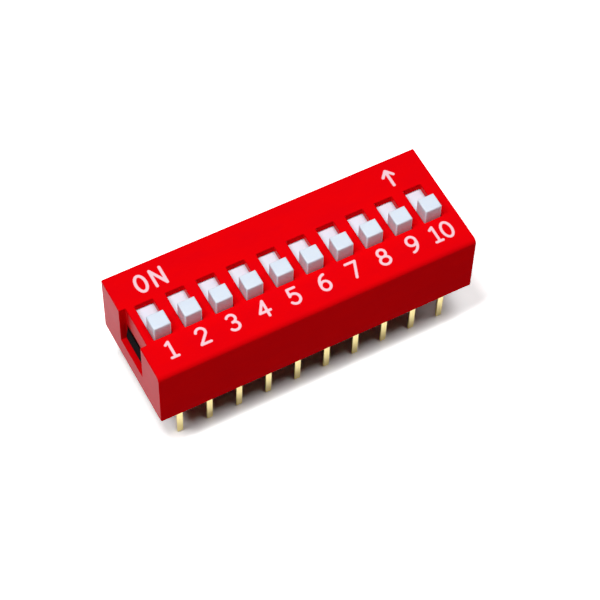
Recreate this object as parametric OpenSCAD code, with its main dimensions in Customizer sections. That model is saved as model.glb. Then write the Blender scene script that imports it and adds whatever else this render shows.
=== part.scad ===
// Slide switch in a dual in-line housing: ten slides side by side, over two rows of flat pins.
// X runs along the row, each slide moves towards +Y to switch on, and the pin tips stand on Z = 0.
// The sizes are in millimetres, and the slides are drawn at OFF.

/* [Row] */
// Distance between neighbouring switches, and so between neighbouring pins
pitch = 2.54; // [2.1:0.01:3.2]
// Distance between the two rows of pins, centre to centre
row_spacing = 7.62; // [6.3:0.01:7.8]
// Distance from the last switch's centre to the end face of the cover
end_margin = 1.97; // [1.95:0.01:3]

/* [Cover] */
// Depth of the cover, from its front face to its rear face
cover_w = 9.8; // [9.7:0.1:12.7]
// Height of the cover, from its lower edge to its top face
cover_h = 6.1; // [5.6:0.1:8]
// Thickness of the front and rear walls
side_wall = 0.75; // [0.5:0.05:0.8]
// Thickness of the end walls
end_wall = 0.9; // [0.7:0.05:0.95]
// Thickness of the top plate
top_plate = 0.7; // [0.5:0.05:1]
// Radius along the top edge of the front face
front_round = 0.45; // [0.1:0.05:0.6]
// Size of the chamfer round the inside of the lower edge, which leads the base in
lead_in = 0.2; // [0.1:0.05:0.3]

/* [End notch] */
// Width of the notch in the end face beside the first switch
notch_w = 3.6; // [2.5:0.1:5]
// Depth of the notch into the end face
notch_depth = 0.55; // [0.3:0.05:0.6]
// Height of the notch's floor above the cover's lower edge
notch_floor = 2.1; // [1.5:0.1:2.6]

/* [Catch] */
// Width of the catch at each end of the base
catch_w = 3.44; // [2.4:0.02:4.8]
// Height of the catch's opening in each end wall, from the level of the notch's floor
catch_opening = 1.85; // [1.2:0.05:2]
// How far the catch stands out past the back of the notch
catch_proud = 0.12; // [0:0.02:0.3]
// Height of the catch's upright lower edge, below its ramp
catch_lip = 0.4; // [0.2:0.1:0.8]

/* [Slide] */
// Distance each slide travels from OFF to ON
travel = 1.9; // [1.2:0.05:2.1]
// Width of a window along the row
window_w = 1.52; // [1.2:0.02:1.6]
// Length of the knob along its travel
knob_l = 1.38; // [1.1:0.02:1.8]
// Height of the knob above the cover's top face
knob_rise = 1.3; // [0.4:0.05:1.6]
// Radius along the knob's four top edges
knob_round = 0.2; // [0.05:0.01:0.3]
// Radius of the knob's four upright edges
knob_corner = 0.15; // [0.05:0.01:0.25]
// Thickness of the flange that closes the window from inside
flange_t = 0.7; // [0.4:0.05:0.9]
// How far the flange reaches past the window's ends at either end of the travel
flange_lap = 0.25; // [0.1:0.05:0.3]
// How far the flange reaches past each side of the window
flange_side = 0.2; // [0.1:0.02:0.22]
// Width of the stem that carries the contact
stem_w = 1.24; // [1:0.02:1.3]
// Length of the stem
stem_l = 3.2; // [2.6:0.1:3.4]

/* [Contact] */
// Thickness of the contact's strip
strip_t = 0.15; // [0.1:0.01:0.2]
// Width of the contact's strip
strip_w = 1; // [0.8:0.05:1.1]
// Length of the strip's flat middle
strip_flat = 1.5; // [1.2:0.1:1.8]
// Inner radius of the bends at the ends of the flat middle
strip_bend = 0.2; // [0.1:0.05:0.3]
// Distance between the two pairs of wiper tips
wiper_span = 3.2; // [2.8:0.1:3.6]
// Outer radius of a wiper's curled tip
wiper_r = 0.28; // [0.22:0.01:0.35]
// Width of the slot that splits each arm into two wipers
wiper_slot = 0.2; // [0.1:0.02:0.3]
// Height from the wiper tips to the strip's top
contact_h = 1.45; // [1.1:0.05:1.8]
// Diameter of the peg that holds the contact to its stem
peg_d = 0.44; // [0.3:0.02:0.5]
// Diameter of the peg's staked head
peg_head_d = 0.8; // [0.65:0.05:1]
// Thickness of the peg's staked head
peg_head_t = 0.15; // [0.1:0.05:0.3]

/* [Terminals] */
// Length of a pin below the base
pin_l = 3.9; // [2.5:0.1:4.5]
// Width of a pin's blade along the row
pin_w = 0.5; // [0.4:0.01:0.6]
// Thickness of the terminals' sheet metal
pin_t = 0.25; // [0.2:0.01:0.3]
// Width of the contact pad inside the base
pad_w = 1; // [0.8:0.05:1.2]
// How far the front pad reaches past the wiper at ON
pad_lap = 0.35; // [0.2:0.05:0.5]
// Inner radius of the bend between blade and pad
bend_r = 0.2; // [0.1:0.05:0.3]

/* [Base] */
// How far the base stands out below the cover's lower edge
base_stand = 0.5; // [0:0.1:0.8]
// Thickness of the base's floor, up to the contact pads
floor_t = 2.1; // [1.4:0.1:2.2]
// Height inside the base at which a blade widens to the pad's width
shoulder_up = 0.5; // [0.3:0.1:0.8]
// Side of the square hole left under each pad by the moulding core
core_hole = 0.8; // [0.5:0.05:0.9]
// Distance of the moulding core's holes from the middle of the base
core_y = 2.5; // [2:0.1:2.8]

/* [Clearances] */
// Running clearance on each face of a slide
slide_gap = 0.04; // [0.03:0.01:0.05]
// Clearance on each face between the base and the cover
seat_gap = 0.04; // [0.02:0.01:0.06]
// Clearance between the wiper tips and the pads
wiper_gap = 0.03; // [0.02:0.01:0.05]

/* [Hidden] */
$fn = 48;
positions = 10;

cover_l = (positions - 1) * pitch + 2 * end_margin;
inner_l = cover_l - 2 * end_wall;
inner_w = cover_w - 2 * side_wall;
base_l = inner_l - 2 * seat_gap;
base_w = inner_w - 2 * seat_gap;

// Heights, from the board upwards
z_seat = pin_l;
z_edge = z_seat + base_stand;
z_ledge = z_edge + notch_floor;
z_floor = z_seat + floor_t;
z_strip = z_floor + wiper_gap + contact_h;
z_top = z_edge + cover_h;
z_plate = z_top - top_plate;
z_flange = z_plate - slide_gap - flange_t;
z_deck = z_flange - slide_gap;

// Slides, measured from their own middle, which rests half a travel in front of the row's
y_off = -travel / 2;
knob_w = window_w - 2 * slide_gap;
window_l = knob_l + travel + 2 * slide_gap;
flange_w = window_w + 2 * flange_side;
flange_l = window_l + travel + 2 * flange_lap;
rib_w = pitch - flange_w - 2 * slide_gap;
well_w = stem_w + 2 * slide_gap;
well_l = max(stem_l, wiper_span + 2 * wiper_r) + travel + 2 * slide_gap;

// Inner ends of the contact pads: a wiper pair leaves the rear pad half-way through the travel
front_pad_end = (wiper_span - travel) / 2 - pad_lap;
rear_pad_end = wiper_span / 2;

// Contact strip: each arm runs straight between its bend and its curled tip, tangent to both
bend_centre = [strip_flat / 2, -strip_t - strip_bend];
tip_centre = [wiper_span / 2, wiper_r - contact_h];
arm_run = tip_centre - bend_centre;
arm_angle = atan2(-arm_run[1], arm_run[0]) + asin((strip_bend + wiper_r) / norm(arm_run));
tip_turn = 55;
arc_steps = 6;

overcut = 1;

function switch_x(i) = (i - (positions + 1) / 2) * pitch;
function numbered(name, i) = str(name, i < 10 ? "_0" : "_", i);

// A block centred on X and Y, from z0 up to z1
module block(size_x, size_y, z0, z1) {
    translate([-size_x / 2, -size_y / 2, z0])
        cube([size_x, size_y, z1 - z0]);
}

// An outline drawn in Y and Z, extruded along X to a centred width
module across_x(width) {
    translate([-width / 2, 0, 0])
        rotate([90, 0, 90])
            linear_extrude(width)
                children();
}

// An outline drawn in X and Z, extruded along Y to a centred width
module across_y(width) {
    translate([0, width / 2, 0])
        rotate([90, 0, 0])
            linear_extrude(width)
                children();
}

// A shape at both ends of the row, mirrored
module at_both_ends() {
    children();
    mirror([1, 0, 0])
        children();
}

// The waste of a convex edge of radius r: the square corner at the origin less the quarter round
module edge_waste(r) {
    difference() {
        translate([-r, -r])
            square(r + overcut);
        translate([-r, -r])
            circle(r);
        translate([-2 * r, -2 * r])
            square([r, 2 * r + overcut]);
        translate([-2 * r, -2 * r])
            square([2 * r + overcut, r]);
    }
}

// The inside of the cover at its lower edge, with a slope of 45 degrees, for an inside width
module lead_in_outline(width) {
    at_edge = width / 2 + lead_in;
    slope_h = lead_in + overcut;
    polygon([
        [-at_edge - overcut, z_edge - overcut],
        [at_edge + overcut, z_edge - overcut],
        [at_edge - slope_h, z_edge + slope_h],
        [slope_h - at_edge, z_edge + slope_h]
    ]);
}

module lead_in_waste() {
    intersection() {
        across_x(cover_l + 2 * overcut)
            lead_in_outline(inner_w);
        across_y(cover_w + 2 * overcut)
            lead_in_outline(inner_l);
    }
}

module cover_block() {
    difference() {
        block(cover_l, cover_w, z_edge, z_top);
        block(inner_l, inner_w, z_edge - overcut, z_plate);
        lead_in_waste();
        across_x(cover_l + overcut)
            translate([-cover_w / 2, z_top])
                mirror([1, 0])
                    edge_waste(front_round);
    }
}

// The recess in the end face beside the first switch, open at the top
module end_notch() {
    translate([-cover_l / 2, 0, 0])
        block(2 * notch_depth, notch_w, z_ledge, z_top + overcut);
}

// The opening through an end wall that the catch snaps into
module catch_window() {
    translate([cover_l / 2, 0, 0])
        block(2 * end_wall + overcut, catch_w + 2 * seat_gap, z_ledge, z_ledge + catch_opening);
}

module window() {
    block(window_w, window_l, z_plate - overcut, z_top + overcut);
}

// Ribs under the top plate keep neighbouring flanges apart
module guide_ribs() {
    for (i = [1:positions - 1])
        translate([switch_x(i + 0.5), 0, 0])
            block(rib_w, inner_w, z_deck + slide_gap, z_plate);
}

module cover() {
    color("#e01010") {
        difference() {
            cover_block();
            end_notch();
            at_both_ends()
                catch_window();
            for (i = [1:positions])
                translate([switch_x(i), 0, 0])
                    window();
        }
        guide_ribs();
    }
}

// A wedge that snaps into its opening in the end wall: upright lower edge, then a ramp back
module catch() {
    z_low = z_ledge + seat_gap;
    z_high = z_ledge + catch_opening - seat_gap;
    x_root = -overcut / 4;
    x_nose = end_wall - notch_depth + seat_gap + catch_proud;
    translate([base_l / 2, 0, 0])
        across_y(catch_w)
            polygon([
                [x_root, z_low],
                [x_nose, z_low],
                [x_nose, z_low + catch_lip],
                [x_nose - catch_proud - seat_gap, z_high],
                [x_root, z_high]
            ]);
}

module well() {
    block(well_w, well_l, z_floor, z_deck + overcut);
}

// The holes under a switch's two pads
module core_holes() {
    for (side = [-1, 1])
        translate([0, side * core_y, 0])
            block(core_hole, core_hole, z_seat - overcut, z_floor - pin_t);
}

module base() {
    color("#1c1c1e")
        difference() {
            union() {
                block(base_l, base_w, z_seat, z_deck);
                at_both_ends()
                    catch();
            }
            for (i = [1:positions])
                translate([switch_x(i), 0, 0]) {
                    well();
                    core_holes();
                    terminal_metal(front_pad_end);
                    rotate([0, 0, 180])
                        terminal_metal(rear_pad_end);
                }
        }
}

// Blade, bend and pad in Y and Z, for a terminal of the front row
module terminal_side(pad_end) {
    y_in = row_spacing / 2 - pin_t / 2 - bend_r;
    z_bend = z_floor - pin_t - bend_r;
    mirror([1, 0]) {
        translate([y_in + bend_r, z_seat + shoulder_up])
            square([pin_t, z_bend - z_seat - shoulder_up]);
        translate([y_in, z_bend])
            intersection() {
                difference() {
                    circle(bend_r + pin_t);
                    circle(bend_r);
                }
                square(bend_r + pin_t);
            }
        translate([pad_end, z_floor - pin_t])
            square([y_in - pad_end, pin_t]);
    }
}

// A terminal of the front row, with its pad's inner end at a distance from the row's middle
module terminal_metal(pad_end) {
    across_x(pad_w)
        terminal_side(pad_end);
    translate([0, -row_spacing / 2, 0])
        block(pin_w, pin_t, 0, z_seat + shoulder_up);
}

module terminal_front(i) {
    color("#d9c27a")
        translate([switch_x(i), 0, 0])
            terminal_metal(front_pad_end);
}

module terminal_rear(i) {
    color("#d9c27a")
        translate([switch_x(i), 0, 0])
            rotate([0, 0, 180])
                terminal_metal(rear_pad_end);
}

// The knob from above: a rectangle with rounded corners
module knob_plan() {
    difference() {
        square([knob_w, knob_l], center = true);
        for (side_x = [0, 1], side_y = [0, 1])
            mirror([side_x, 0])
                mirror([0, side_y])
                    translate([knob_w / 2, knob_l / 2])
                        edge_waste(knob_corner);
    }
}

// The knob from the side or from the front: upright faces and rounded top edges
module knob_outline(width) {
    z_low = z_flange + flange_t / 2;
    z_tip = z_top + knob_rise;
    difference() {
        translate([-width / 2, z_low])
            square([width, z_tip - z_low]);
        for (side = [0, 1])
            mirror([side, 0])
                translate([width / 2, z_tip])
                    edge_waste(knob_round);
    }
}

module knob() {
    intersection() {
        across_x(knob_w)
            knob_outline(knob_l);
        across_y(knob_l)
            knob_outline(knob_w);
        linear_extrude(z_top + knob_rise + overcut)
            knob_plan();
    }
}

// The peg that passes through the contact, with its staked head
module peg() {
    z_head = z_strip - strip_t;
    translate([0, 0, z_head - peg_head_t])
        cylinder(h = peg_head_t, d = peg_head_d);
    translate([0, 0, z_head - peg_head_t / 2])
        cylinder(h = strip_t + peg_head_t, d = peg_d);
}

module slider(i) {
    color("#f2f4f7")
        translate([switch_x(i), y_off, 0]) {
            knob();
            block(flange_w, flange_l, z_flange, z_flange + flange_t);
            block(stem_w, stem_l, z_strip, z_flange + flange_t / 2);
            peg();
        }
}

// Points along an arc about a centre, from angle a0 to angle a1
function arc(centre, r, a0, a1) = [
    for (k = [0:arc_steps])
        let (a = a0 + (a1 - a0) * k / arc_steps)
        centre + r * [cos(a), sin(a)]
];

// One face of the strip in Y and Z, from its middle, round the bend, down the arm and round the tip
function strip_face(bend_radius, tip_radius) = concat(
    arc(bend_centre, bend_radius, 90, 90 - arm_angle),
    arc(tip_centre, tip_radius, 270 - arm_angle, 270 + tip_turn)
);

function reversed(points) = [for (k = [len(points) - 1:-1:0]) points[k]];
function mirrored(points) = [for (p = points) [-p[0], p[1]]];

module strip_side() {
    half = concat(
        strip_face(strip_bend + strip_t, wiper_r - strip_t),
        reversed(strip_face(strip_bend, wiper_r))
    );
    polygon(concat(half, reversed(mirrored(half))));
}

module contact(i) {
    slot_l = wiper_span / 2;
    color("#caa64a")
        translate([switch_x(i), y_off, z_strip])
            difference() {
                across_x(strip_w)
                    strip_side();
                for (side = [-1, 1])
                    translate([0, side * (strip_flat / 2 + slot_l / 2), 0])
                        block(wiper_slot, slot_l, -contact_h - overcut, overcut);
                translate([0, 0, -strip_t - overcut])
                    cylinder(h = strip_t + 2 * overcut, d = peg_d + 2 * slide_gap);
            }
}

cover();
base();
for (i = [1:positions]) {
    slider(i);
    contact(i);
    terminal_front(i);
    terminal_rear(i);
}
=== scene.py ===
"""Looks of a ten-way slide switch: finishes, printed marks, and a plain stage with lamps and a camera."""

import logging
import math
from dataclasses import dataclass, field
from enum import Enum
from typing import Any, Dict, Iterable, List, Sequence, Tuple

import bmesh
import bpy
import numpy as np
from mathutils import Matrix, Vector
from mathutils.geometry import delaunay_2d_cdt


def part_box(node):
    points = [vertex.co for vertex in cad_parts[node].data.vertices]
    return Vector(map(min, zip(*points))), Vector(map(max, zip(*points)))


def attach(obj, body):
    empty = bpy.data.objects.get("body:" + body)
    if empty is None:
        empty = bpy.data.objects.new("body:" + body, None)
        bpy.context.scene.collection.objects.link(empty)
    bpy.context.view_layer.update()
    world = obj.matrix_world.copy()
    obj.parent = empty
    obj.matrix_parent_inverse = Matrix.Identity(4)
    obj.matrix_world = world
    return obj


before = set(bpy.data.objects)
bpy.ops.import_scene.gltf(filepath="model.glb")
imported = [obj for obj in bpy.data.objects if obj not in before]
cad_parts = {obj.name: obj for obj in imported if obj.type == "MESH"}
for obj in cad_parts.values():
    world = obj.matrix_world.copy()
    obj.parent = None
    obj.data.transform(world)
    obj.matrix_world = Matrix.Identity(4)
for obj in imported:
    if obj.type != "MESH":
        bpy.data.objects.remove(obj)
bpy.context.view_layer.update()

LOG = logging.getLogger("slide_switch")
MM = 0.001
WAYS = 10
# The mesh attribute that says how much of the ink's edge colour a point takes
RIM_LAYER = "rim"
# A length in millimetres that is too small to matter
TINY = 1e-6
# The kind of triangulation that fills the whole hull of its points
WHOLE_HULL = 0

Colour = Tuple[float, float, float]
Triple = Tuple[float, float, float]
Point = Tuple[float, float]
Path = List[Point]
GridEdge = Tuple[int, int, int]


class Body(Enum):
    """The rigid bodies that pieces ride on."""

    HOUSING = "housing"


class Slot(Enum):
    """The record's material slots; no piece in this script takes a finish from them."""

    SLIDE = "white_slide"


# ---------------------------------------------------------------- materials


class NodeTree:
    """A shader node tree with short calls to add nodes and wire them."""

    def __init__(self, tree: bpy.types.NodeTree) -> None:
        """Takes over a tree and empties it.

        Args:
            tree: The tree of a material or of the world.
        """
        self.tree = tree
        self.tree.nodes.clear()

    def add(self, kind: str, **settings: Any) -> bpy.types.Node:
        """Adds one node.

        Args:
            kind: The node's type name.
            settings: Its properties; a name that is an input socket sets that input.

        Returns:
            The new node.
        """
        node = self.tree.nodes.new(kind)
        for key, value in settings.items():
            if hasattr(node, key):
                setattr(node, key, value)
            else:
                node.inputs[key.replace("_", " ")].default_value = value
        return node

    def wire(self, source: bpy.types.Node, out: Any, target: bpy.types.Node, into: Any) -> None:
        """Links one node's output to another's input.

        Args:
            source: The node that gives the value.
            out: Its output's name or number.
            target: The node that takes it.
            into: Its input's name or number.
        """
        self.tree.links.new(source.outputs[out], target.inputs[into])

    def math(self, operation: str, first: Any, second: Any = 0.0) -> bpy.types.Node:
        """Adds a Math node.

        Args:
            operation: What it works out.
            first: A number, a node that gives one at its output 0, or a node with an output's name.
            second: The other number, in the same way.

        Returns:
            The Math node.
        """
        node = self.add("ShaderNodeMath", operation=operation)
        for socket, value in enumerate((first, second)):
            if isinstance(value, (int, float)):
                node.inputs[socket].default_value = value
            else:
                source, out = value if isinstance(value, tuple) else (value, 0)
                self.wire(source, out, node, socket)
        return node

    def mirror_share(self, ray: bpy.types.Node) -> bpy.types.Node:
        """Picks the rays that show a reflection, or a view through something clear, to the eye.

        Args:
            ray: The tree's Light Path node.

        Returns:
            A node that is 1 for such rays, and 0 after a dull surface has scattered the light.
        """
        either = self.math("MAXIMUM", (ray, "Is Glossy Ray"), (ray, "Is Transmission Ray"))
        return self.math("MULTIPLY", either, self.math("LESS_THAN", (ray, "Diffuse Depth"), 0.5))


class NodeBench(NodeTree):
    """A material's node tree, with a shader and the means to give it tone, grain and relief."""

    def __init__(self, name: str) -> None:
        """Starts an empty tree with a Principled shader and an output.

        Args:
            name: The material's name.
        """
        self.material = bpy.data.materials.new(name)
        self.material.use_nodes = True
        super().__init__(self.material.node_tree)
        self.output = self.add("ShaderNodeOutputMaterial")
        self.shader = self.add("ShaderNodeBsdfPrincipled")
        self.wire(self.shader, "BSDF", self.output, "Surface")
        self.place = self.add("ShaderNodeTexCoord")

    def noise(self, size_mm: float, detail: float = 3.0, stretch: Triple = (1.0, 1.0, 1.0)) -> bpy.types.Node:
        """Adds a noise whose grain has a real size.

        Args:
            size_mm: The size of one grain in millimetres.
            detail: How many finer layers it has.
            stretch: How much the grain is squeezed along X, Y and Z.

        Returns:
            The noise node; its output 0 runs from 0 to 1.
        """
        mapping = self.add("ShaderNodeMapping")
        mapping.inputs["Scale"].default_value = [s / (size_mm * MM) for s in stretch]
        grain = self.add("ShaderNodeTexNoise", Scale=1.0, Detail=detail, Roughness=0.55)
        self.wire(self.place, "Object", mapping, "Vector")
        self.wire(mapping, "Vector", grain, "Vector")
        return grain

    def spread(self, source: bpy.types.Node, low: float, high: float,
               start: float = 0.3, end: float = 0.7, out: Any = 0) -> bpy.types.Node:
        """Stretches a 0 to 1 value over a new range.

        Args:
            source: The node that gives the value.
            low: The result where the value is at start.
            high: The result where the value is at end.
            start: The value that gives low.
            end: The value that gives high.
            out: The name or number of the source's output.

        Returns:
            The Map Range node.
        """
        node = self.add("ShaderNodeMapRange")
        for socket, value in zip(("From Min", "From Max", "To Min", "To Max"), (start, end, low, high)):
            node.inputs[socket].default_value = value
        self.wire(source, out, node, "Value")
        return node

    def blend(self, first: Any, second: Any, share: bpy.types.Node) -> bpy.types.Node:
        """Mixes two colours by a value.

        Args:
            first: A colour, or a node: a mix node gives its colour, any other its output 0.
            second: The colour where the share is 1, in the same way.
            share: The node that gives the share at its output 0.

        Returns:
            The mix node; its colour is output 2.
        """
        node = self.add("ShaderNodeMix", data_type="RGBA")
        for value, socket in ((first, 6), (second, 7)):
            if isinstance(value, tuple):
                node.inputs[socket].default_value = (*value, 1.0)
            else:
                self.wire(value, 2 if value.bl_idname == "ShaderNodeMix" else 0, node, socket)
        self.wire(share, 0, node, 0)
        return node

    def relief(self, layers: Sequence[Tuple[bpy.types.Node, float]]) -> None:
        """Gives the shader a bump made of stacked layers.

        Args:
            layers: Each height node with its height in millimetres from 0 to 1.
        """
        last = None
        for height, depth in layers:
            bump = self.add("ShaderNodeBump", Strength=1.0, Distance=depth * MM)
            self.wire(height, 0, bump, "Height")
            if last is not None:
                self.wire(last, "Normal", bump, "Normal")
            last = bump
        if last is not None:
            self.wire(last, "Normal", self.shader, "Normal")

    def edges(self, radius_mm: float) -> bpy.types.Node:
        """Finds edges, where a surface turns within a small radius.

        Args:
            radius_mm: How far from an edge the value reaches.

        Returns:
            A node whose output 0 is 0 on flats and rises towards 1 on edges.
        """
        soft = self.add("ShaderNodeBevel", samples=6, Radius=radius_mm * MM)
        here = self.add("ShaderNodeNewGeometry")
        dot = self.add("ShaderNodeVectorMath", operation="DOT_PRODUCT")
        self.wire(soft, "Normal", dot, 0)
        self.wire(here, "True Normal", dot, 1)
        return self.math("SUBTRACT", 1.0, (dot, "Value"))


@dataclass(frozen=True)
class MouldedPlastic:
    """An injection-moulded plastic with flow marks, fine grain, and edges painted lighter: partly rubbing
    wear, partly a painted highlight.
    """

    name: str
    colour: Colour
    flow_colour: Colour
    rub_colour: Colour
    roughness: float
    gloss_index: float
    flow_mm: float = 3.2
    flow_stretch: Triple = (1.0, 2.2, 2.2)
    ripple_mm: float = 1.1
    ripple_height_mm: float = 0.004
    ripple_sheen: float = 0.04
    grain_mm: float = 0.07
    grain_height_mm: float = 0.002
    grain_sheen: float = 0.05
    rub_reach_mm: float = 0.07
    rub_share: float = 0.55
    rub_patch_mm: float = 0.45
    glow: float = 0.0
    glow_depth_mm: float = 0.25
    glow_reach: Triple = (1.0, 0.9, 0.8)
    glance: float = 0.0
    glance_start: float = 0.58
    glance_end: float = 0.76
    glance_index: float = 1.5
    glance_roughness: float = 0.3

    def make(self) -> bpy.types.Material:
        """Builds the plastic's material.

        Returns:
            The material.
        """
        bench = NodeBench(self.name)
        flow = bench.noise(self.flow_mm, 4.0, self.flow_stretch)
        grain = bench.noise(self.grain_mm, 2.0)
        ripple = bench.noise(self.ripple_mm, 2.0)
        tone = bench.blend(self.colour, self.flow_colour, bench.spread(flow, 0.0, 1.0, start=0.35))
        # Edges are painted a lighter colour in patches: partly rubbing wear, partly a painted highlight that
        # brings out the edges.
        edge_wear_and_highlight = bench.spread(bench.edges(self.rub_reach_mm), 0.0, self.rub_share, start=0.02, end=0.5)
        patches = bench.spread(bench.noise(self.rub_patch_mm), 0.25, 1.0, start=0.4, end=0.62)
        skin = bench.blend(tone, self.rub_colour, bench.math("MULTIPLY", edge_wear_and_highlight, patches))
        bench.wire(skin, 2, bench.shader, "Base Color")
        broad = bench.spread(ripple, self.roughness - self.ripple_sheen, self.roughness + self.ripple_sheen)
        fine = bench.spread(grain, -self.grain_sheen, self.grain_sheen)
        bench.wire(bench.math("ADD", fine, broad), 0, bench.shader, "Roughness")
        bench.shader.inputs["IOR"].default_value = self.gloss_index
        if self.glow > 0.0:
            bench.shader.inputs["Subsurface Weight"].default_value = self.glow
            bench.shader.inputs["Subsurface Scale"].default_value = self.glow_depth_mm * MM
            bench.shader.inputs["Subsurface Radius"].default_value = self.glow_reach
        if self.glance > 0.0:
            self.polish(bench)
        bench.relief(((ripple, self.ripple_height_mm), (grain, self.grain_height_mm)))
        return bench.material

    def polish(self, bench: NodeBench) -> None:
        """Adds a gloss that shows where the surface is seen at a flat angle.

        Args:
            bench: The plastic's node tree.
        """
        facing = bench.add("ShaderNodeLayerWeight", Blend=0.5)
        gloss = bench.spread(facing, 0.0, self.glance, self.glance_start, self.glance_end, "Facing")
        gloss.interpolation_type = "SMOOTHSTEP"
        bench.wire(gloss, 0, bench.shader, "Coat Weight")
        bench.shader.inputs["Coat IOR"].default_value = self.glance_index
        bench.shader.inputs["Coat Roughness"].default_value = self.glance_roughness


@dataclass(frozen=True)
class PlatedMetal:
    """A plated strip metal with drawn streaks, faint tarnish and a fine grain."""

    name: str
    colour: Colour
    tarnish: Colour
    roughness: float
    streak_stretch: Triple
    streak_mm: float = 0.05
    streak_height_mm: float = 0.0012
    streak_shine: float = 0.08
    streak_dulling: float = 0.1
    cloud_mm: float = 0.6
    cloud_height_mm: float = 0.003

    def make(self) -> bpy.types.Material:
        """Builds the metal's material.

        Returns:
            The material.
        """
        bench = NodeBench(self.name)
        streaks = bench.noise(self.streak_mm, stretch=self.streak_stretch)
        cloud = bench.noise(self.cloud_mm, 4.0)
        tone = bench.blend(self.colour, self.tarnish, bench.spread(cloud, 0.0, 0.75, start=0.42, end=0.75))
        bench.wire(tone, 2, bench.shader, "Base Color")
        bench.shader.inputs["Metallic"].default_value = 1.0
        low, high = self.roughness - self.streak_shine, self.roughness + self.streak_dulling
        bench.wire(bench.spread(streaks, low, high), 0, bench.shader, "Roughness")
        bench.relief(((cloud, self.cloud_height_mm), (streaks, self.streak_height_mm)))
        return bench.material


@dataclass(frozen=True)
class PadInk:
    """A thin opaque ink that lets the plastic show faintly through its edges."""

    name: str
    colour: Colour
    edge_colour: Colour
    roughness: float
    roughness_drift: float = 0.07
    gloss_index: float = 1.4
    speckle_mm: float = 0.06
    speckle_height_mm: float = 0.003

    def make(self) -> bpy.types.Material:
        """Builds the ink's material.

        Returns:
            The material.
        """
        bench = NodeBench(self.name)
        rim = bench.add("ShaderNodeAttribute", attribute_name=RIM_LAYER)
        speckle = bench.noise(self.speckle_mm)
        thin = bench.math("MULTIPLY", (rim, "Fac"), bench.spread(speckle, 0.55, 1.0))
        tone = bench.blend(self.colour, self.edge_colour, thin)
        bench.wire(tone, 2, bench.shader, "Base Color")
        low, high = self.roughness - self.roughness_drift, self.roughness + self.roughness_drift
        bench.wire(bench.spread(speckle, low, high), 0, bench.shader, "Roughness")
        bench.shader.inputs["IOR"].default_value = self.gloss_index
        bench.relief(((speckle, self.speckle_height_mm),))
        return bench.material


@dataclass(frozen=True)
class PaleTop:
    """A plain white table top: bright to the eye, duller in the light it throws back, clear from below."""

    name: str = "pale_top"
    seen: float = 1.8
    mirrored: Colour = (1.35, 1.3, 1.4)
    thrown: float = 0.55

    def make(self) -> bpy.types.Material:
        """Builds the table top's material.

        Returns:
            The material.
        """
        bench = NodeBench(self.name)
        bench.tree.nodes.remove(bench.shader)
        ray = bench.add("ShaderNodeLightPath")
        indirect = bench.blend((self.thrown,) * 3, self.mirrored, bench.mirror_share(ray))
        pale = bench.blend(indirect, (self.seen,) * 3, ray)
        matt = bench.add("ShaderNodeBsdfDiffuse")
        bench.wire(pale, 2, matt, "Color")
        clear = bench.add("ShaderNodeBsdfTransparent")
        side = bench.add("ShaderNodeNewGeometry")
        below = bench.math("MULTIPLY", (side, "Backfacing"), (ray, "Is Camera Ray"))
        mix = bench.add("ShaderNodeMixShader")
        bench.wire(below, 0, mix, 0)
        bench.wire(matt, 0, mix, 1)
        bench.wire(clear, 0, mix, 2)
        bench.wire(mix, 0, bench.output, "Surface")
        return bench.material


class Finish(Enum):
    """Every finish on the switch."""

    COVER = MouldedPlastic(
        "red_satin_plastic", colour=(0.83, 0.0006, 0.003), flow_colour=(0.78, 0.0005, 0.004),
        rub_colour=(0.86, 0.008, 0.014), roughness=0.42, gloss_index=1.02, glance=0.43)
    # The base's lighter edge colour is partly rubbing wear and mostly a painted highlight that brings out its
    # edges and core holes.
    BASE = MouldedPlastic(
        "black_matt_plastic", colour=(0.008, 0.008, 0.009), flow_colour=(0.013, 0.013, 0.014),
        rub_colour=(0.05, 0.048, 0.048), roughness=0.75, gloss_index=1.06,
        grain_mm=0.09, grain_height_mm=0.003)
    SLIDE = MouldedPlastic(
        "white_satin_plastic", colour=(0.74, 0.82, 0.92), flow_colour=(0.71, 0.78, 0.89),
        rub_colour=(0.80, 0.85, 0.92), roughness=0.42, gloss_index=1.3, grain_mm=0.06,
        grain_height_mm=0.0015, ripple_height_mm=0.003, glow=0.15)
    CONTACT = PlatedMetal(
        "gilt_spring_strip", colour=(0.83, 0.62, 0.30), tarnish=(0.62, 0.42, 0.18), roughness=0.28,
        streak_stretch=(1.0, 0.06, 0.06))
    TERMINAL = PlatedMetal(
        "pale_gilt_strip", colour=(0.98, 0.86, 0.36), tarnish=(0.86, 0.74, 0.28), roughness=0.18,
        streak_stretch=(1.0, 1.0, 0.05))
    INK = PadInk("white_pad_ink", colour=(0.90, 0.61, 0.67), edge_colour=(0.86, 0.26, 0.32), roughness=0.5)


# ---------------------------------------------------------------- printed marks


def arc(centre: Point, radii: Point, start: float, end: float, steps: int) -> Path:
    """Gives points along part of an ellipse.

    Args:
        centre: Its middle.
        radii: Its half width and half height.
        start: The first angle in degrees, from +X anticlockwise.
        end: The last angle in degrees.
        steps: How many pieces it is cut into.

    Returns:
        The points, in order.
    """
    angles = np.radians(np.linspace(start, end, steps + 1))
    return [(centre[0] + radii[0] * math.cos(a), centre[1] + radii[1] * math.sin(a)) for a in angles]


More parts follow.
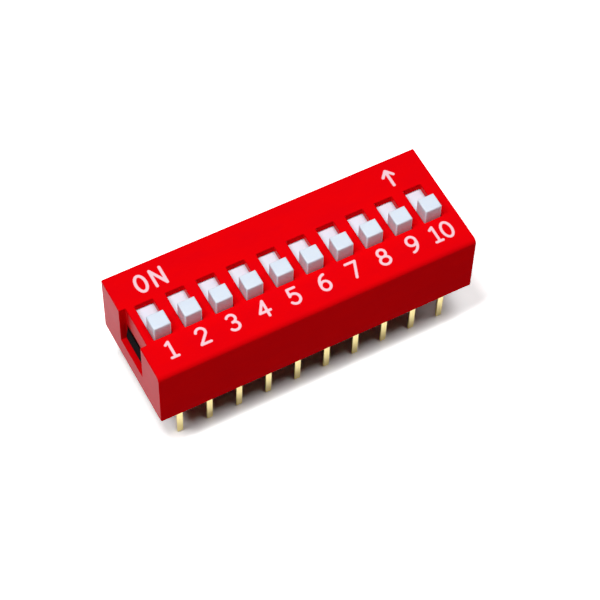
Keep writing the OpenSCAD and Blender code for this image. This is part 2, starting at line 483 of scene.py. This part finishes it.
def numeral_paths() -> Dict[str, List[Path]]:
    """Gives each sign's pen strokes in a box 1 wide and 1.65 high, in millimetres round its middle.

    Returns:
        The strokes of each sign, by its name.
    """
    top, low, half, tall = 0.69, -0.69, 0.37, 0.73
    return {
        "0": [arc((0, 0), (0.40, top), 0, 360, 40)],
        "1": [[(0.03, low), (0.03, top), (-0.24, 0.50)], [(-0.26, low), (0.30, low)]],
        "2": [arc((0, 0.31), (half, 0.38), 165, -32, 22) + [(-0.37, low), (0.40, low)]],
        "3": [
            arc((-0.02, 0.35), (0.34, 0.34), 150, -90, 22),
            arc((-0.02, -0.33), (0.38, 0.36), 90, -150, 24),
        ],
        "4": [[(0.17, low), (0.17, top), (-0.42, -0.26), (0.44, -0.26)]],
        "5": [[(0.33, top), (-0.27, top), (-0.31, 0.06)] + arc((-0.04, -0.24), (0.41, 0.45), 128, -148, 26)],
        "6": [arc((0.02, -0.28), (0.37, 0.41), 0, 360, 40), arc((0.30, -0.20), (0.65, 0.90), 176, 94, 18)],
        "7": [[(-0.40, top), (0.40, top), (-0.10, low)]],
        "8": [arc((0, 0.35), (0.32, 0.34), 0, 360, 36), arc((0, -0.34), (0.40, 0.36), 0, 360, 40)],
        "9": [arc((-0.02, 0.28), (0.37, 0.41), 0, 360, 40), arc((-0.30, 0.20), (0.65, 0.90), -4, -86, 18)],
        "O": [arc((0, 0), (0.40, tall), 0, 360, 40)],
        "N": [[(-0.42, -tall), (-0.42, tall), (0.42, -tall), (0.42, tall)]],
        "arrow": [[(0, -tall), (0, tall)], [(-0.44, 0.22), (0, tall), (0.44, 0.22)]],
    }


def shifted(strokes: List[Path], dx: float) -> List[Path]:
    """Gives a sign's strokes moved sideways by dx millimetres."""
    return [[(x + dx, y) for x, y in stroke] for stroke in strokes]


def within(starts: np.ndarray, ends: np.ndarray, x: float, y: float) -> bool:
    """Tells whether a point lies inside closed outlines, by counting the edges to its right.

    Args:
        starts: The first point of every edge.
        ends: The second point of every edge.
        x: The point's X.
        y: The point's Y.

    Returns:
        True where the count is odd.
    """
    spans = (starts[:, 1] > y) != (ends[:, 1] > y)
    low, high = starts[spans], ends[spans]
    crossed = low[:, 0] + (y - low[:, 1]) * (high[:, 0] - low[:, 0]) / (high[:, 1] - low[:, 1])
    return bool(np.count_nonzero(crossed > x) % 2)


@dataclass
class PrintedMark:
    """One flat printed sign: pen strokes laid as a thin closed film of ink, with sizes in millimetres."""

    name: str
    strokes: List[Path]
    centre: Point
    level: float
    pen: float
    film: float = 0.018
    sink: float = 0.006
    rim: float = 0.012
    fade: float = 0.05
    cell: float = 0.025
    wobble: float = 0.006
    waves: Tuple[Triple, Triple] = ((31.0, 4.0, 17.0), (37.0, 3.0, 23.0))
    corner_share: float = 0.3
    probe: float = 0.02
    fewest_points: int = 8

    def distance(self, xs: np.ndarray, ys: np.ndarray) -> np.ndarray:
        """Measures how far points are outside the inked shape.

        Args:
            xs: The points' X.
            ys: The points' Y.

        Returns:
            The distance at each point, below 0 inside the ink.
        """
        best = np.full(xs.shape, np.inf)
        for stroke in self.strokes:
            for (ax, ay), (bx, by) in zip(stroke, stroke[1:]):
                dx, dy = bx - ax, by - ay
                share = np.clip(((xs - ax) * dx + (ys - ay) * dy) / max(dx * dx + dy * dy, TINY ** 2), 0, 1)
                best = np.minimum(best, np.hypot(xs - ax - share * dx, ys - ay - share * dy))
        return best - self.pen / 2 + self.wobble / 2 * self.ragged(xs, ys)

    def ragged(self, xs: np.ndarray, ys: np.ndarray) -> np.ndarray:
        """Gives the waves that make the ink's edge a little uneven.

        Args:
            xs: The points' X.
            ys: The points' Y.

        Returns:
            A value from -2 to 2 at each point.
        """
        (pace_x, swing_x, turn_x), (pace_y, swing_y, turn_y) = self.waves
        across = np.sin(xs * pace_x + swing_x * np.sin(ys * turn_x))
        return across + np.sin(ys * pace_y + swing_y * np.sin(xs * turn_y))

    def outlines(self) -> List[np.ndarray]:
        """Traces the ink's edges.

        Returns:
            Closed loops of points in millimetres.
        """
        points = np.array([p for stroke in self.strokes for p in stroke])
        low, high = points.min(0) - self.pen, points.max(0) + self.pen
        nx, ny = (np.ceil((high - low) / self.cell).astype(int) + 1).tolist()
        steps_x, steps_y = low[0] + self.cell * np.arange(nx), low[1] + self.cell * np.arange(ny)
        value = self.distance(*np.meshgrid(steps_x, steps_y, indexing="ij"))
        value[np.abs(value) < TINY] = TINY
        ahead: Dict[GridEdge, GridEdge] = {}
        spot: Dict[GridEdge, np.ndarray] = {}
        for i in range(nx - 1):
            for j in range(ny - 1):
                self.cross_cell(value, low, (i, j), ahead, spot)
        loops = []
        while ahead:
            start, here = ahead.popitem()
            ring = [start]
            while here != start:
                ring.append(here)
                here = ahead.pop(here)
            loops.append(self.even(np.array([spot[edge] for edge in ring])))
        return [loop for loop in loops if len(loop) > self.fewest_points]

    def cross_cell(self, value: np.ndarray, low: np.ndarray, cell: Tuple[int, int],
                   ahead: Dict[GridEdge, GridEdge], spot: Dict[GridEdge, np.ndarray]) -> None:
        """Finds where the ink's edge crosses one cell of a grid.

        Args:
            value: The distance to the ink at each grid point.
            low: The place of the grid's first point.
            cell: The cell's first corner.
            ahead: Takes each crossed edge with the next one along the outline.
            spot: Takes the crossing point on each crossed edge.
        """
        i, j = cell
        corners = [(i, j), (i + 1, j), (i + 1, j + 1), (i, j + 1)]
        inside = [value[c] < 0 for c in corners]
        if all(inside) or not any(inside):
            return
        enter, leave = [], []
        for k in range(4):
            a, b = corners[k], corners[(k + 1) % 4]
            if inside[k] == inside[(k + 1) % 4]:
                continue
            edge = (min(a[0], b[0]), min(a[1], b[1]), int(a[0] == b[0]))
            t = value[a] / (value[a] - value[b])
            spot[edge] = low + self.cell * (np.array(a) + t * (np.array(b) - np.array(a)))
            (leave if inside[k] else enter).append(edge)
        for first, second in zip(leave, enter if len(enter) == 1 else enter[::-1]):
            ahead[first] = second

    def even(self, loop: np.ndarray) -> np.ndarray:
        """Spaces a closed loop's points evenly.

        Args:
            loop: The points.

        Returns:
            New points on the same line, one cell apart.
        """
        closed = np.vstack([loop, loop[:1]])
        run = np.concatenate([[0.0], np.cumsum(np.linalg.norm(np.diff(closed, axis=0), axis=1))])
        stops = np.linspace(0.0, run[-1], int(run[-1] / self.cell) + 1)[:-1]
        return np.stack([np.interp(stops, run, closed[:, axis]) for axis in (0, 1)], 1)

    def inward(self, loop: np.ndarray) -> np.ndarray:
        """Gives the directions that lead from an outline into the ink.

        Args:
            loop: The outline's points.

        Returns:
            One unit vector for each point.
        """
        along = sum(np.roll(loop, -k, 0) - np.roll(loop, k, 0) for k in (1, 2))
        turned = np.stack([-along[:, 1], along[:, 0]], 1) / np.linalg.norm(along, axis=1)[:, None]
        probe = loop + turned * self.probe
        return -turned if self.distance(probe[:, 0], probe[:, 1]).mean() > 0 else turned

    def section(self) -> Tuple[Triple, ...]:
        """Gives the film's section, outside first.

        Returns:
            Each ring's inset, height and share of edge colour.
        """
        corner = self.rim * self.corner_share
        return (
            (0.0, -self.sink, 1.0),
            (0.0, self.film - self.rim, 1.0),
            (corner, self.film - corner, 1.0),
            (self.rim, self.film, 0.9),
            (self.fade, self.film, 0.0),
        )

    def rings(self, mesh: bmesh.types.BMesh, loops: List[np.ndarray]) -> List[List[List[bmesh.types.BMVert]]]:
        """Adds the film's points along each outline.

        Args:
            mesh: The mesh that takes them.
            loops: The outlines.

        Returns:
            For each step of the section, one ring of points for each outline.
        """
        shade = mesh.verts.layers.float.new(RIM_LAYER)
        inwards = [self.inward(loop) for loop in loops]
        levels = []
        for inset, height, tone in self.section():
            level = []
            for loop, inward in zip(loops, inwards):
                ring = []
                for x, y in loop + inward * inset + np.array(self.centre):
                    vert = mesh.verts.new((x * MM, y * MM, (self.level + height) * MM))
                    vert[shade] = tone
                    ring.append(vert)
                level.append(ring)
            levels.append(level)
        return levels

    def cap(self, mesh: bmesh.types.BMesh, rings: List[List[bmesh.types.BMVert]]) -> None:
        """Closes the film between its rings at one height.

        Args:
            mesh: The film.
            rings: The rings, one for each outline.
        """
        verts = [vert for ring in rings for vert in ring]
        spots = [vert.co.xy / MM - Vector(self.centre) for vert in verts]
        edges, first = [], 0
        for ring in rings:
            edges += [(first + k, first + (k + 1) % len(ring)) for k in range(len(ring))]
            first += len(ring)
        starts, ends = (np.array([spots[edge[side]] for edge in edges]) for side in (0, 1))
        _, _, made, origin, _, _ = delaunay_2d_cdt(spots, edges, [], WHOLE_HULL, TINY)
        for face in made:
            corners = [origin[v][0] for v in face]
            x, y = np.mean([spots[c] for c in corners], axis=0)
            if within(starts, ends, x, y):
                mesh.faces.new([verts[c] for c in corners])

    def build(self, material: bpy.types.Material) -> bpy.types.Object:
        """Builds the film of ink and lays it on the cover.

        Args:
            material: The ink.

        Returns:
            The mark's object, riding on the housing.
        """
        mesh = bmesh.new()
        levels = self.rings(mesh, self.outlines())
        for lower_level, upper_level in zip(levels, levels[1:]):
            for lower, upper in zip(lower_level, upper_level):
                for k in range(len(lower)):
                    m = (k + 1) % len(lower)
                    mesh.faces.new((lower[k], lower[m], upper[m], upper[k]))
        self.cap(mesh, levels[0])
        self.cap(mesh, levels[-1])
        bmesh.ops.recalc_face_normals(mesh, faces=mesh.faces)
        data = bpy.data.meshes.new(self.name)
        mesh.to_mesh(data)
        mesh.free()
        data.materials.append(material)
        mark = bpy.data.objects.new(self.name, data)
        bpy.context.scene.collection.objects.link(mark)
        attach(mark, Body.HOUSING.value)
        return mark


@dataclass
class Legends:
    """The printed marks on the cover: the way numbers, ON, and an arrow that points to it."""

    pitch: float = 2.54
    number_row: float = -2.97
    on_row: float = 3.22
    on_centre: float = -10.1
    arrow_centre: float = 10.35
    number_shift: float = 0.02
    number_pen: float = 0.235
    word_pen: float = 0.26
    ten_spread: Point = (-0.58, 0.42)
    word_spread: Point = (-0.78, 0.64)

    def build(self, level: float) -> List[bpy.types.Object]:
        """Builds every mark.

        Args:
            level: The height of the cover's top in millimetres.

        Returns:
            The marks.
        """
        signs = numeral_paths()
        signs["10"] = self.pair(signs, "10", self.ten_spread)
        marks = []
        for way in range(1, WAYS + 1):
            place = ((way - (WAYS + 1) / 2) * self.pitch + self.number_shift, self.number_row)
            marks.append(PrintedMark(f"print_{way:02d}", signs[str(way)], place, level, self.number_pen))
        word = self.pair(signs, "ON", self.word_spread)
        marks.append(PrintedMark("print_on", word, (self.on_centre, self.on_row), level, self.word_pen))
        arrow = (self.arrow_centre, self.on_row)
        marks.append(PrintedMark("print_arrow", signs["arrow"], arrow, level, self.word_pen))
        ink = Finish.INK.value.make()
        return [mark.build(ink) for mark in marks]

    def pair(self, signs: Dict[str, List[Path]], letters: str, spread: Point) -> List[Path]:
        """Sets two signs side by side.

        Args:
            signs: The strokes of every sign.
            letters: The names of the two signs.
            spread: How far each one moves sideways.

        Returns:
            The strokes of both.
        """
        return [path for name, dx in zip(letters, spread) for path in shifted(signs[name], dx)]


# ---------------------------------------------------------------- sub-assemblies


@dataclass(frozen=True)
class EdgeRounding:
    """The small radius that a mould or a press leaves on every edge, in millimetres and degrees."""

    radius: float
    angle: float = 35.0
    whole_flats: bool = False
    flat_angle: float = 0.5
    segments: int = 2
    weld: float = 0.0002

    def normals_group(self) -> bpy.types.NodeTree:
        """Gives the node group that welds a mesh and clears its stored normals.

        Returns:
            The group, made once and then shared.
        """
        name = "weld_and_smooth"
        if name in bpy.data.node_groups:
            return bpy.data.node_groups[name]
        group = bpy.data.node_groups.new(name, "GeometryNodeTree")
        group.interface.new_socket("Geometry", in_out="INPUT", socket_type="NodeSocketGeometry")
        group.interface.new_socket("Geometry", in_out="OUTPUT", socket_type="NodeSocketGeometry")
        start, end = group.nodes.new("NodeGroupInput"), group.nodes.new("NodeGroupOutput")
        weld = group.nodes.new("GeometryNodeMergeByDistance")
        weld.inputs["Distance"].default_value = self.weld * MM
        clear = group.nodes.new("GeometryNodeSetMeshNormal")
        clear.mode = "SHARPNESS"
        group.links.new(start.outputs[0], weld.inputs[0])
        group.links.new(weld.outputs[0], clear.inputs[0])
        group.links.new(clear.outputs[0], end.inputs[0])
        return group

    def dress(self, piece: bpy.types.Object) -> None:
        """Adds the rounding to a piece as modifiers.

        Args:
            piece: The piece, whose own mesh stays as it is.
        """
        nodes = piece.modifiers.new("weld", "NODES")
        nodes.node_group = self.normals_group()
        if self.whole_flats:
            flats = piece.modifiers.new("whole_flats", "DECIMATE")
            flats.decimate_type = "DISSOLVE"
            flats.angle_limit = math.radians(self.flat_angle)
        bevel = piece.modifiers.new("edge_radius", "BEVEL")
        bevel.width = self.radius * MM
        bevel.segments = self.segments
        bevel.limit_method = "ANGLE"
        bevel.angle_limit = math.radians(self.angle)
        bevel.harden_normals = True
        bevel.use_clamp_overlap = False
        bevel.loop_slide = False


def numbered(stem: str) -> Tuple[str, ...]:
    """Gives the names of one piece's copies, such as stem_01 to stem_10."""
    return tuple(f"{stem}_{n:02d}" for n in range(1, WAYS + 1))


@dataclass
class SubAssembly:
    """CAD pieces that keep their shape and take a finish and rounded edges."""

    names: Tuple[str, ...]
    finish: Finish
    rounding: EdgeRounding

    def dress(self) -> List[bpy.types.Object]:
        """Gives each piece its finish and edges.

        Returns:
            The pieces.
        """
        material = self.finish.value.make()
        pieces = [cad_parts[name] for name in self.names]
        for piece in pieces:
            for slot in piece.material_slots:
                slot.material = material
            self.rounding.dress(piece)
        return pieces


@dataclass
class SwitchCover(SubAssembly):
    """The red moulded cover with its printed marks."""

    names: Tuple[str, ...] = ("cover",)
    finish: Finish = Finish.COVER
    rounding: EdgeRounding = EdgeRounding(0.09, whole_flats=True)
    legends: Legends = field(default_factory=Legends)

    def dress(self) -> List[bpy.types.Object]:
        """Dresses the cover and prints on it.

        Returns:
            The cover and its marks.
        """
        return super().dress() + self.legends.build(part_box(self.names[0])[1].z / MM)


@dataclass
class SwitchBase(SubAssembly):
    """The black moulded base that holds the terminals."""

    names: Tuple[str, ...] = ("base",)
    finish: Finish = Finish.BASE
    rounding: EdgeRounding = EdgeRounding(0.04)


@dataclass
class SlideRow(SubAssembly):
    """The ten white slides; a wide angle keeps the rounding off their own round edges."""

    names: Tuple[str, ...] = numbered("slider")
    finish: Finish = Finish.SLIDE
    rounding: EdgeRounding = EdgeRounding(0.05, angle=70.0)


@dataclass
class ContactRow(SubAssembly):
    """The ten sprung contacts under the slides."""

    names: Tuple[str, ...] = numbered("contact")
    finish: Finish = Finish.CONTACT
    rounding: EdgeRounding = EdgeRounding(0.012)


@dataclass
class TerminalRows(SubAssembly):
    """The two rows of flat pins."""

    names: Tuple[str, ...] = numbered("terminal_front") + numbered("terminal_rear")
    finish: Finish = Finish.TERMINAL
    rounding: EdgeRounding = EdgeRounding(0.02)


# ---------------------------------------------------------------- stage


@dataclass
class SoftBox:
    """One round studio lamp; its level is how light it makes a white card at the object."""

    name: str
    place: Triple
    size: float
    level: float

    def build(self, target: Vector) -> bpy.types.Object:
        """Hangs the lamp and turns it to the object.

        Args:
            target: The point it faces.

        Returns:
            The lamp.
        """
        data = bpy.data.lights.new(self.name, "AREA")
        data.shape = "DISK"
        data.size = self.size
        gap = (Vector(self.place) - target).length
        data.energy = self.level * math.pi ** 2 * gap ** 2
        lamp = bpy.data.objects.new(self.name, data)
        lamp.location = self.place
        lamp.rotation_euler = (target - Vector(self.place)).to_track_quat("-Z", "Y").to_euler()
        bpy.context.scene.collection.objects.link(lamp)
        return lamp


@dataclass
class Studio:
    """A pale floor, an even white room and soft lamps."""

    floor_half: float = 3.0
    floor_drop: float = 2e-5
    room: float = 0.003
    target: Triple = (0.0, 0.0, 0.006)
    lamps: Sequence[SoftBox] = (
        SoftBox("overhead", (0.07, -0.06, 0.42), 0.20, 0.42),
        SoftBox("overhead_left", (-0.09, -0.015, 0.42), 0.07, 0.26),
        SoftBox("left", (-0.19, 0.0, 0.36), 0.14, 0.38),
        SoftBox("right", (0.26, -0.06, 0.32), 0.12, 0.06),
    )

    def build(self) -> bpy.types.Object:
        """Builds the floor, the room's light and the lamps.

        Returns:
            The floor.
        """
        floor = self.lay_floor()
        self.light_room()
        for lamp in self.lamps:
            lamp.build(Vector(self.target))
        bpy.context.scene.view_settings.view_transform = "Standard"
        return floor

    def lay_floor(self) -> bpy.types.Object:
        """Lays the floor just under the pin tips.

        Returns:
            The floor.
        """
        half = self.floor_half
        corners = [(-half, -half, 0), (half, -half, 0), (half, half, 0), (-half, half, 0)]
        data = bpy.data.meshes.new("floor")
        data.from_pydata(corners, [], [(0, 1, 2, 3)])
        data.materials.append(PaleTop().make())
        floor = bpy.data.objects.new("floor", data)
        floor.location.z = -self.floor_drop
        bpy.context.scene.collection.objects.link(floor)
        return floor

    def light_room(self) -> None:
        """Makes the room white to the eye and in reflections, and nearly dark as a light."""
        world = bpy.data.worlds.new("white_room")
        world.use_nodes = True
        sky = NodeTree(world.node_tree)
        ray = sky.add("ShaderNodeLightPath")
        white = sky.math("MAXIMUM", (ray, "Is Camera Ray"), sky.mirror_share(ray))
        back = sky.add("ShaderNodeBackground", Color=(1.0, 1.0, 1.0, 1.0))
        sky.wire(sky.math("MAXIMUM", white, self.room), 0, back, "Strength")
        sky.wire(back, "Background", sky.add("ShaderNodeOutputWorld"), "Surface")
        bpy.context.scene.world = world


@dataclass
class ViewCamera:
    """The camera that looks down at the switch from its front left."""

    place: Triple = (-0.04610778, -0.08310909, 0.15134377)
    turn: Triple = (32.99577, -0.992133, -27.993277)
    lens: float = 135.70034
    sensor_width: float = 36.0
    clip_start: float = 0.01

    def build(self) -> bpy.types.Object:
        """Sets the camera up and makes it the scene's own.

        Returns:
            The camera.
        """
        data = bpy.data.cameras.new("camera")
        data.lens = self.lens
        data.sensor_width = self.sensor_width
        data.clip_start = self.clip_start
        camera = bpy.data.objects.new("camera", data)
        camera.location = self.place
        camera.rotation_euler = [math.radians(a) for a in self.turn]
        bpy.context.scene.collection.objects.link(camera)
        bpy.context.scene.camera = camera
        return camera


def report(pieces: Iterable[bpy.types.Object]) -> None:
    """Logs each piece's name and face count."""
    for piece in pieces:
        LOG.info("%s: %d faces", piece.name, len(piece.data.polygons))


def main() -> None:
    """Dresses the switch, prints its marks and sets the stage."""
    logging.basicConfig(level=logging.INFO, format="%(name)s %(message)s")
    for assembly in (SwitchCover(), SwitchBase(), SlideRow(), ContactRow(), TerminalRows()):
        report(assembly.dress())
    report([Studio().build()])
    ViewCamera().build()


if __name__ == "__main__":
    main()
